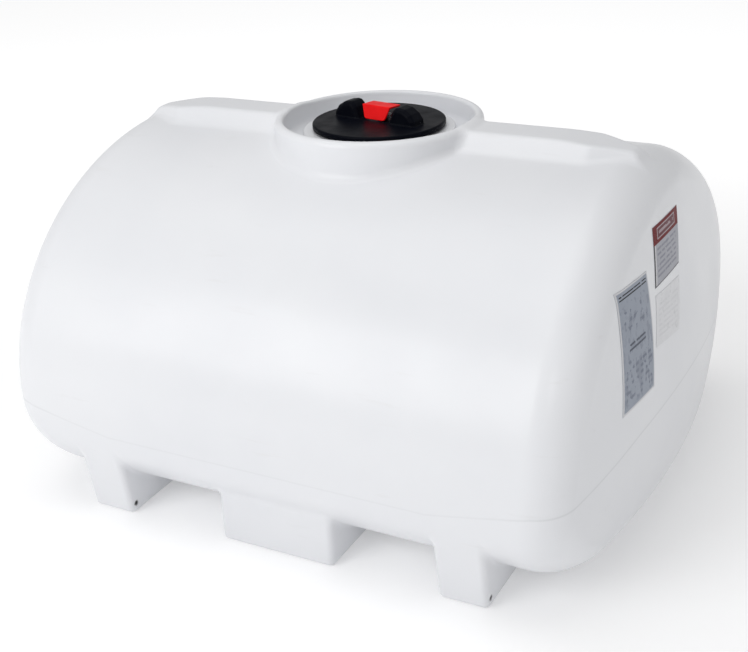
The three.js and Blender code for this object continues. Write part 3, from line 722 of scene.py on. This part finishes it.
for side, end in ((side, end) for side in ("left", "right") for end in ("front", "rear")):
    middle = (-LEG_X if side == "left" else LEG_X) - LEG_WIDTH / 2
    across = Matrix.Translation((middle, -SLEEVE_Y if end == "front" else SLEEVE_Y, SLEEVE_Z))
    node = f"leg_sleeve_{side}_{end}"
    profile = softened(tube(SLEEVE_BORE_R, SLEEVE_R, 0, LEG_WIDTH))
    sleeve = turned(node + "_visual", profile, 64, across @ ALONG_X)
    finished(sleeve, STEEL_FINISH, "tank", node)


def drilled(obj):
    """A ring with its eight screw holes."""
    for x, y in screw_places():
        cut(obj, rod(SCREW_HOLE_R, (x, y, 0.64), 0.06, Matrix(), 24))
    return obj


gasket = turned("fill_ring_gasket_visual", softened(tube(*FILL_GASKET)), 160)
finished(drilled(gasket), RUBBER_FINISH, "tank", "fill_ring_gasket")

ring = turned("fill_ring_visual", softened(FILL_RING_PROFILE, 0.0008), 160)
finished(drilled(ring), BLACK_FINISH, "tank", "fill_ring")

for number, (x, y) in enumerate(screw_places(), 1):
    node = f"ring_screw_{number}"
    centre = Matrix.Translation((x, y, 0))
    screw = turned(node + "_visual", softened(SCREW_PROFILE, 0.0003), 40, centre)
    socket = turned("socket", disc(*SCREW_SOCKET), 6, centre)
    finished(cut(screw, socket), STEEL_FINISH, "tank", node)

lid_gasket = turned("lid_gasket_visual", softened(tube(*LID_GASKET)), 160)
finished(lid_gasket, RUBBER_FINISH, "lid_seat", "lid_gasket")

# ---- Lid and its vent --------------------------------------------------------------------------

LID_R = 0.127
LID_TOP_Z = 0.687
LID_UNDER_Z = 0.6835
LID_SKIRT_Z = 0.677
LID_SKIRT_THICK = 0.004
LID_EDGE_ROUND = 0.0035
SPIGOT_R, SPIGOT_Z = 0.0945, 0.670                        # middle of the ring under the lid
SPIGOT_HALF_WALL, SPIGOT_HALF_HEIGHT = 0.003, 0.015
GRIP_TURN = math.radians(10)                              # clockwise, seen from above
LID_TURN = Matrix.Rotation(-GRIP_TURN, 4, "Z")
# Middle line of the grip's rounded edge, as x from the lid's axis and height.
GRIP_CORE = ((0.0370, 0.680), (0.0900, 0.680), (0.0880, 0.695), (0.0810, 0.7045), (0.0690, 0.7118),
             (0.0570, 0.7138), (0.0535, 0.7134), (0.0500, 0.7105), (0.0465, 0.7060))
GRIP_ROUND = 0.005
GRIP_HALF_DEPTH = 0.020
GRIP_END_ROUND = 0.009
GRIP_FILLET = 0.003
PIN_Y = 0.012
PIN_Z = 0.694
PIN_R, PIN_HALF_LENGTH = 0.002, 0.035
PIN_HOLE_R, PIN_HOLE_HALF_LENGTH = 0.0023, 0.0356
VENT_Y = 0.024
VENT_HOLE_R = 0.0045
LEVER_PATH = ((-0.0248, -0.0038), (-0.0184, 0.0188), (0.0128, 0.0172))     # from the pin
LEVER_FOOT = (0.0234, -0.0056, 0.36)                      # half width, its height and the flare
LEVER_HALF_THICK = 0.0022
LEVER_CORNER_ROUND = 0.006
LEVER_EDGE_ROUND = 0.0018
LUG_R, LUG_HALF_WIDTH, LUG_REACH = 0.0055, 0.009, 0.013
PAD_HALF_DEPTH, PAD_HALF_WIDTH = 0.001, 0.004
PAD_MIDDLE_Z, PAD_HALF_HEIGHT = 0.0075, 0.0095            # from the pin
LEVER_SPRING = (0.0042, 0.0006, 4, 0.009)                 # radius, wire, turns and length
CAGE_PROFILE = ((0.004, 0.660), (0.016, 0.660), (0.016, 0.6832), (0.0135, 0.6832),
                (0.0135, 0.6625), (0.004, 0.6625))
PORT_SIZE, PORT_Z = (0.048, 0.006, 0.008), 0.669
VENT_SEAL = (0.006, 0.0132, 0.6816, 0.6832)
POPPET_PROFILE = ((0, 0.6728), (0.0022, 0.6728), (0.0022, 0.6788), (0.011, 0.6788),
                  (0.011, 0.6813), (0.003, 0.6813), (0.003, 0.6917), (0, 0.6917))
VENT_SPRING_FOOT_Z = 0.6635
VENT_SPRING = (0.006, 0.0006, 5, 0.0143)


def lid_frame(x, y):
    """The point's place across and along the lid's turned grips."""
    cosine, sine = math.cos(GRIP_TURN), math.sin(GRIP_TURN)
    return x * cosine - y * sine, x * sine + y * cosine


def path_distance(path, a, b):
    """How far [a, b] is from a line through these points."""
    nearest = np.inf
    for (start_a, start_b), (stop_a, stop_b) in zip(path, path[1:]):
        run_a, run_b = stop_a - start_a, stop_b - start_b
        share = ((a - start_a) * run_a + (b - start_b) * run_b) / (run_a ** 2 + run_b ** 2)
        share = np.clip(share, 0, 1)
        gap = np.hypot(a - start_a - share * run_a, b - start_b - share * run_b)
        nearest = np.minimum(nearest, gap)
    return nearest


def outline_distance(outline, a, b):
    """How far [a, b] is outside a closed convex outline that runs anticlockwise."""
    inside = -np.inf
    for (start_a, start_b), (stop_a, stop_b) in zip(outline, outline[1:] + outline[:1]):
        run_a, run_b = stop_a - start_a, stop_b - start_b
        beyond = ((a - start_a) * run_b - (b - start_b) * run_a) / math.hypot(run_a, run_b)
        inside = np.maximum(inside, beyond)
    edge = path_distance(outline + outline[:1], a, b)
    return np.where(inside < 0, -edge, edge)


def lid_distance(x, y, z):
    """The cap with its skirt, spigot and two grips, and the holes for the pin and the vent."""
    x, y = lid_frame(x, y)
    reach = np.hypot(x, y)
    cap = round_intersection(reach - LID_R, z - LID_TOP_Z, LID_EDGE_ROUND)
    under = np.maximum(reach - LID_R + LID_SKIRT_THICK, z - LID_UNDER_Z)
    cap = np.maximum(np.maximum(cap, LID_SKIRT_Z - z), -under)
    spigot = np.maximum(np.abs(reach - SPIGOT_R) - SPIGOT_HALF_WALL,
                        np.abs(z - SPIGOT_Z) - SPIGOT_HALF_HEIGHT)
    cap = np.minimum(cap, spigot)
    lobe = outline_distance(GRIP_CORE, np.abs(x), z) - GRIP_ROUND
    grip = round_intersection(lobe, np.abs(y) - GRIP_HALF_DEPTH, GRIP_END_ROUND)
    grip = np.maximum(grip, LID_TOP_Z - 0.0005 - z)
    whole = fillet_union(cap, grip, GRIP_FILLET)
    pin_hole = np.maximum(np.hypot(y - PIN_Y, z - PIN_Z) - PIN_HOLE_R,
                          np.abs(x) - PIN_HOLE_HALF_LENGTH)
    vent_hole = np.maximum(np.hypot(x, y - VENT_Y) - VENT_HOLE_R, z - LID_TOP_Z - 0.001)
    return np.maximum(whole, -np.minimum(pin_hole, vent_hole))


def lever_distance(x, y, z):
    """The vent lever: a bent paddle, a lug round the pin and a pad that presses the poppet."""
    x, y = lid_frame(x, y)
    y, z = y - PIN_Y, z - PIN_Z
    paddle = path_distance(LEVER_PATH, y, z) - LEVER_HALF_THICK
    half, low, flare = LEVER_FOOT
    edge = (np.abs(x) - half - (z - low) * flare) / math.hypot(1, flare)
    corner = round_intersection(edge, low - z, LEVER_CORNER_ROUND)
    paddle = round_intersection(paddle, corner, LEVER_EDGE_ROUND)
    lug = path_distance(((0, 0), (0, LUG_REACH)), y, z) - LUG_R
    lug = round_intersection(lug, np.abs(x) - LUG_HALF_WIDTH, 0.001)
    pad = np.maximum(np.abs(y - VENT_Y + PIN_Y) - PAD_HALF_DEPTH, np.abs(x) - PAD_HALF_WIDTH)
    pad = np.maximum(pad, np.abs(z - PAD_MIDDLE_Z) - PAD_HALF_HEIGHT)
    whole = fillet_union(paddle, np.minimum(lug, pad), 0.001)
    return np.maximum(whole, PIN_HOLE_R - np.hypot(y, z))


coarse = 1.0
lid = meshed("lid_visual", lid_distance, (-0.130, -0.130, 0.652), (0.130, 0.130, 0.722),
             0.0012 * coarse, 90000)
dress(shade(lid, lid_distance), BLACK_FINISH)
place(lid, "lid", "lid")

lever = meshed("vent_lever_visual", lever_distance, (-0.045, -0.028, 0.684), (0.045, 0.042, 0.720),
               0.0006 * coarse, 40000)
dress(shade(lever, lever_distance), RED_FINISH)
place(lever, "lever", "vent_lever")

pin_place = LID_TURN @ Matrix.Translation((-PIN_HALF_LENGTH, PIN_Y, PIN_Z)) @ ALONG_X
pin = turned("lever_pin_visual", softened(disc(PIN_R, 0, 2 * PIN_HALF_LENGTH)), 40, pin_place)
finished(pin, STEEL_FINISH, "lid", "lever_pin")

spring_place = LID_TURN @ Matrix.Translation((0.011, PIN_Y, PIN_Z)) @ ALONG_X
lever_spring = coil("lever_spring_visual", *LEVER_SPRING, spring_place)
finished(lever_spring, STEEL_FINISH, "lid", "lever_spring")

VENT_PLACE = LID_TURN @ Matrix.Translation((0, VENT_Y, 0))
cage = turned("vent_cage_visual", softened(CAGE_PROFILE), 96, VENT_PLACE)
for angle in (0, 60, 120):
    port = bpy.data.meshes.new("port")
    maker = bmesh.new()
    turn = Matrix.Rotation(math.radians(angle), 4, "Z")
    size = Matrix.Diagonal((*PORT_SIZE, 1))
    across = VENT_PLACE @ Matrix.Translation((0, 0, PORT_Z)) @ turn @ size
    bmesh.ops.create_cube(maker, size=1, matrix=across)
    maker.to_mesh(port)
    maker.free()
    cut(cage, new_object("port", port))
finished(cage, BLACK_FINISH, "lid", "vent_cage")

seal = turned("vent_seal_visual", softened(tube(*VENT_SEAL)), 96, VENT_PLACE)
finished(seal, RUBBER_FINISH, "lid", "vent_seal")

poppet = turned("vent_poppet_visual", softened(POPPET_PROFILE), 64, VENT_PLACE)
finished(poppet, BLACK_FINISH, "poppet", "vent_poppet")

# The vent's spring stands on the cage's floor.
spring_place = VENT_PLACE @ Matrix.Translation((0, 0, VENT_SPRING_FOOT_Z))
vent_spring = coil("vent_spring_visual", *VENT_SPRING, spring_place)
dress(shade(vent_spring), STEEL_FINISH)
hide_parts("vent_spring")
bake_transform(vent_spring)

# ---- Drain -------------------------------------------------------------------------------------

DRAIN_AXIS = Matrix.Translation((0, 0, DRAIN_Z)) @ ALONG_Y
HEX_TURN = Matrix.Rotation(math.radians(30), 4, "Z")
HEX_CORNER = 0.0012                                       # how far the corners are taken off
# Distances along the drain's axis are from the tank's middle.
DRAIN_GASKET = (0.0176, 0.029, 0.47085, 0.47325)
FITTING_PROFILE = ((0.0127, 0.43755), (0.017, 0.43755), (0.017, 0.47355), (0.030, 0.47355),
                   (0.030, 0.48105), (0.021, 0.48105), (0.021, 0.48905), (0.0127, 0.48905))
NUT = (0.048, 0.45165, 0.46265)                           # width across flats, and its two ends
PLUG_WASHER = (0.0124, 0.0177, 0.48935, 0.49135)
PLUG_HEAD = (0.027, 0.49415, 0.50265)
PLUG_PROFILE = ((0, 0.47565), (0.0121, 0.47565), (0.0121, 0.49165), (0.0173, 0.49165),
                (0.0173, 0.49415), (0.0100, 0.49475), (0, 0.49475))


def hexagon(across, low, high):
    """A six-sided prism on the drain's axis with its corners taken off at the ends."""
    blank = turned("blank", disc(across / math.sqrt(3), low, high), 6, DRAIN_AXIS @ HEX_TURN)
    radius, flat = across / math.sqrt(3) + 0.0002, across / 2
    round_off = [(0, low), (flat, low), (radius, low + HEX_CORNER),
                 (radius, high - HEX_CORNER), (flat, high), (0, high)]
    both = blank.modifiers.new("both", "BOOLEAN")
    both.operation, both.solver = "INTERSECT", "EXACT"
    both.object = turned("round_off", round_off, 96, DRAIN_AXIS)
    bake_modifiers(blank)
    bpy.data.objects.remove(bpy.data.objects["round_off"])
    return blank


def joined(obj, other):
    """Both as one solid, in the first one's object."""
    both = obj.modifiers.new("join", "BOOLEAN")
    both.operation, both.solver, both.object = "UNION", "EXACT", other
    bake_modifiers(obj)
    bpy.data.objects.remove(other)
    return obj


drain_gasket = turned("drain_gasket_visual", softened(tube(*DRAIN_GASKET)), 128, DRAIN_AXIS)
finished(drain_gasket, RUBBER_FINISH, "tank", "drain_gasket")

fitting = turned("drain_fitting_visual", softened(FITTING_PROFILE, 0.0010), 128, DRAIN_AXIS)
finished(fitting, GREY_FINISH, "tank", "drain_fitting")

nut = cut(hexagon(*NUT), rod(DRAIN_HOLE_R, (0, 0.44, DRAIN_Z), 0.03, ALONG_Y, 96))
nut.name = "drain_nut_visual"
finished(nut, GREY_FINISH, "tank", "drain_nut")

washer = turned("plug_washer_visual", softened(tube(*PLUG_WASHER)), 96, DRAIN_AXIS)
finished(washer, RUBBER_FINISH, "plug_carrier", "plug_washer")

plug = hexagon(*PLUG_HEAD)
plug.name = "drain_plug_visual"
joined(plug, turned("plug_body", softened(PLUG_PROFILE), 96, DRAIN_AXIS))
finished(plug, GREY_FINISH, "plug", "drain_plug")

# ---- Labels ------------------------------------------------------------------------------------

# Corners of each label on the end, as y and z: top left, top right, bottom right, bottom left.
HEADER = ((-0.122, 0.581), (0.012, 0.580), (-0.034, 0.492), (-0.157, 0.489))
CAPACITY = ((-0.297, 0.529), (-0.179, 0.528), (-0.197, 0.330), (-0.318, 0.326))
CARE = ((-0.159, 0.477), (-0.042, 0.472), (-0.068, 0.383), (-0.181, 0.394))


def on_shell(y, z, lift):
    """Where a line along X meets the shell's right end, raised off it by lift."""
    x = np.full_like(y, 0.600)
    for _ in range(12):
        here = shell_distance(x, y, z) - lift
        slope = (shell_distance(x + 2e-4, y, z) - lift - here) / 2e-4
        x = x - np.clip(here / np.maximum(slope, 0.3), -0.05, 0.05)
    return np.stack([x, y, z], axis=1)


def label(name, corners, lift=0.0002, thick=0.0004, count=28):
    """A thin skin over the shell between four corners, with a flat map for its print."""
    share = np.linspace(0, 1, count)
    u, v = (a.ravel() for a in np.meshgrid(share, share, indexing="ij"))
    top_left, top_right, low_right, low_left = (np.array(corner) for corner in corners)
    top = top_left + (top_right - top_left) * u[:, None]
    low = low_left + (low_right - low_left) * u[:, None]
    y, z = (low + (top - low) * v[:, None]).T
    outer, inner = on_shell(y, z, lift + thick), on_shell(y, z, lift)
    faces = []
    size = count * count
    for i in range(count - 1):
        for j in range(count - 1):
            a, b = i * count + j, (i + 1) * count + j
            faces.append((a, b, b + 1, a + 1))
            faces.append((size + a + 1, size + b + 1, size + b, size + a))
    edge = [i * count for i in range(count)]
    edge += [(count - 1) * count + j for j in range(1, count)]
    edge += [i * count + count - 1 for i in range(count - 2, -1, -1)]
    edge += list(range(count - 2, 0, -1))
    for a, b in zip(edge, edge[1:] + edge[:1]):
        faces.append((b, a, size + a, size + b))
    mesh = bpy.data.meshes.new(name + "_visual")
    mesh.from_pydata(np.concatenate([outer, inner]).tolist(), [], faces)
    layer = mesh.uv_layers.new(name="print")
    corner_of = np.empty(len(mesh.loops), dtype=np.int32)
    mesh.loops.foreach_get("vertex_index", corner_of)
    corner_of %= size
    flat_map = np.stack([u[corner_of], v[corner_of]], axis=1)
    layer.data.foreach_set("uv", flat_map.astype(np.float32).ravel())
    mesh.update()
    return shade(new_object(name + "_visual", mesh))


RED_INK, DARK_INK, PALE_INK = (0.135, 0.001, 0.004), (0.030, 0.031, 0.036), (0.62, 0.62, 0.64)
HEADER_PRINT = printed("header_print", (0.40, 0.405, 0.445), [
    (0.0, 0.035, 0.0, 0.78, 0, 0, DARK_INK),
    (0.035, 0.075, 0.0, 0.68, 0, 0, PALE_INK),
    (0.0, 1.0, 0.0, 0.02, 0, 0, (0.12, 0.12, 0.13)),
    (0.12, 0.88, 0.10, 0.64, 6, 0.40, (0.26, 0.265, 0.31)),
    (0.0, 1.0, 0.69, 1.0, 0, 0, RED_INK),
    (0.15, 0.86, 0.75, 0.94, 0, 0, (0.40, 0.34, 0.36)),
    (0.17, 0.84, 0.77, 0.92, 0, 0, (0.13, 0.04, 0.05)),
    (0.22, 0.80, 0.79, 0.90, 1, 0.44, (0.36, 0.28, 0.30)),
])
CAPACITY_PRINT = printed("capacity_print", (0.335, 0.365, 0.425), [
    (0.05, 0.95, 0.04, 0.88, 0, 0.54, (0.27, 0.295, 0.35)),
    (0.0, 0.04, 0.0, 1.0, 0, 0, PALE_INK),
    (0.975, 1.0, 0.0, 1.0, 0, 0, PALE_INK),
    (0.0, 1.0, 0.0, 0.018, 0, 0, PALE_INK),
    (0.0, 1.0, 0.985, 1.0, 0, 0, PALE_INK),
    (0.08, 0.94, 0.915, 0.965, 2, 0.34, DARK_INK),
    (0.14, 0.86, 0.64, 0.84, 3, 0.53, (0.20, 0.22, 0.27)),
    (0.24, 0.76, 0.48, 0.56, 2, 0.47, (0.10, 0.11, 0.14)),
    (0.10, 0.48, 0.08, 0.44, 6, 0.50, (0.21, 0.23, 0.28)),
    (0.54, 0.92, 0.06, 0.44, 7, 0.52, (0.19, 0.21, 0.26)),
])
CARE_PRINT = printed("care_print", (0.735, 0.74, 0.76), [
    (0.10, 0.90, 0.14, 0.84, 7, 0.42, (0.665, 0.67, 0.69)),
])
for name, corners, finish, slot_name in (
    ("label_header", HEADER, HEADER_PRINT, "label_white"),
    ("label_capacity", CAPACITY, CAPACITY_PRINT, "label_grey"),
    ("label_care", CARE, CARE_PRINT, "label_clear"),
):
    place(dress(label(name, corners), finish), "tank", name)

# ---- Surroundings ------------------------------------------------------------------------------

CAMERA_AT = (1.09626, -2.07086, 1.31199)
CAMERA_PITCH, CAMERA_YAW, CAMERA_ROLL = 24.23, 28.59, -2.74        # degrees
CAMERA_LENS = 60.70
FLOOR_REACH = 60.0
GLOW_NEAR, GLOW_FAR = (0.9, 0.19), (2.6, 0.48)            # distance and strength
WORLD_STRENGTH = 0.47


def make_camera():
    """The camera at the photograph's viewing angle."""
    pitch, yaw, roll = (math.radians(a) for a in (CAMERA_PITCH, CAMERA_YAW, CAMERA_ROLL))
    level_ahead = math.cos(pitch)
    ahead = Vector((-math.sin(yaw) * level_ahead, math.cos(yaw) * level_ahead, -math.sin(pitch)))
    level = Vector((math.cos(yaw), math.sin(yaw), 0))
    upright = level.cross(ahead)
    across = level * math.cos(roll) + upright * math.sin(roll)
    up = upright * math.cos(roll) - level * math.sin(roll)
    data = bpy.data.cameras.new("camera")
    data.sensor_width, data.lens = 36.0, CAMERA_LENS
    data.clip_start, data.clip_end = 0.05, 50.0
    camera = new_object("camera", data)
    turn = Matrix((across, up, -ahead)).transposed().to_4x4()
    camera.matrix_world = Matrix.Translation(CAMERA_AT) @ turn
    SCENE.camera = camera


def soft_light(name, place_at, towards, size, power):
    """A square soft light that faces a point."""
    data = bpy.data.lights.new(name, "AREA")
    data.shape, data.size, data.energy = "SQUARE", size, power
    light = new_object(name, data)
    light.location = place_at
    light.rotation_euler = (Vector(towards) - Vector(place_at)).to_track_quat("-Z", "Y").to_euler()


def make_floor():
    """A pale floor that glows a little, less beneath and close to the tank."""
    data = bpy.data.meshes.new("floor")
    sides = ((-1, -1), (1, -1), (1, 1), (-1, 1))
    data.from_pydata([(x * FLOOR_REACH, y * FLOOR_REACH, 0) for x, y in sides], [], [(0, 1, 2, 3)])
    floor = new_object("floor", data)
    pale = Finish("pale_floor", (0.9, 0.9, 0.9), 0.9, Emission_Color=(1, 1, 1, 1))
    away = pale.node("ShaderNodeVectorMath", operation="LENGTH")
    pale.link(pale.place, away.inputs[0])
    (near, low), (far, high) = GLOW_NEAR, GLOW_FAR
    glow = pale.ranged(away.outputs["Value"], near, far, low, high)
    pale.link(glow, pale.shader.inputs["Emission Strength"])
    pale.paint(pale.mix(pale.noise(0.8), (0.895, 0.895, 0.9), (0.905, 0.905, 0.91)))
    data.materials.append(pale.material)


make_camera()
make_floor()
soft_light("key", (-1.9, -4.0, 2.6), (0, 0, 0.3), 2.6, 74)
soft_light("top", (-0.4, -0.4, 4.6), (0, 0, 0.4), 3.4, 58)
soft_light("fill", (4.2, -2.0, 2.2), (0.3, 0, 0.3), 2.4, 2)
soft_light("glint", (1.75, -2.90, 2.35), (0.49, -0.44, 0.44), 0.4, 6)
world = bpy.data.worlds.new("studio")
world.use_nodes = True
world.node_tree.nodes["Background"].inputs["Color"].default_value = (1, 1, 1, 1)
world.node_tree.nodes["Background"].inputs["Strength"].default_value = WORLD_STRENGTH
SCENE.world = world
SCENE.view_settings.view_transform = "Standard"
